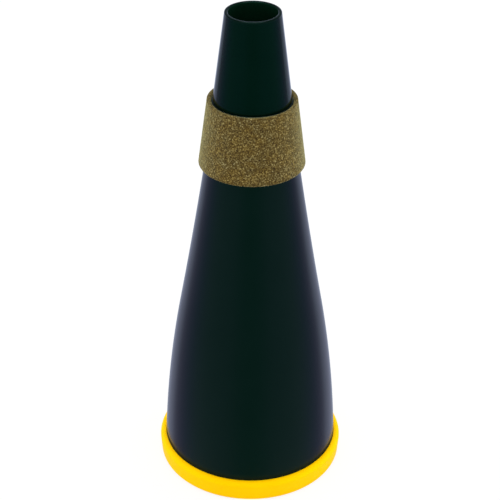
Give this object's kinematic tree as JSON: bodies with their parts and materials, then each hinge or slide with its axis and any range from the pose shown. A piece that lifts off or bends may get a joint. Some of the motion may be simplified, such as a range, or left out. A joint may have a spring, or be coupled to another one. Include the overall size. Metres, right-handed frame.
{
  "type": "brass practice mute",
  "caption": "Conical practice mute for a trumpet: open neck, tapered cork collar, thin shell that bellies towards a push-on base cap with a vent, foam-lined chamber.",
  "frame": {"origin": "centre of the base cap's resting face, on the mute's axis", "axes": "+Z along the axis from the base towards the open neck; the mute is round about +Z, so +X and +Y are any two directions across it"},
  "size_m": [0.0768, 0.0768, 0.2],
  "materials": {
    "cap": "smooth soft vinyl, satin",
    "plate": "moulded, satin",
    "tube": "extruded, satin",
    "shell": "satin black",
    "neck": "gloss black",
    "cork": "ground agglomerated cork",
    "foam": "open-cell foam"
  },
  "bodies": {
    "root": {"base_cap": "cap", "end_plate": "plate", "vent_tube": "tube", "body_shell": "shell", "neck_tube": "neck", "cork_collar": "cork", "foam_pad": "foam", "foam_liner": "foam"}
  },
  "joints": []
}
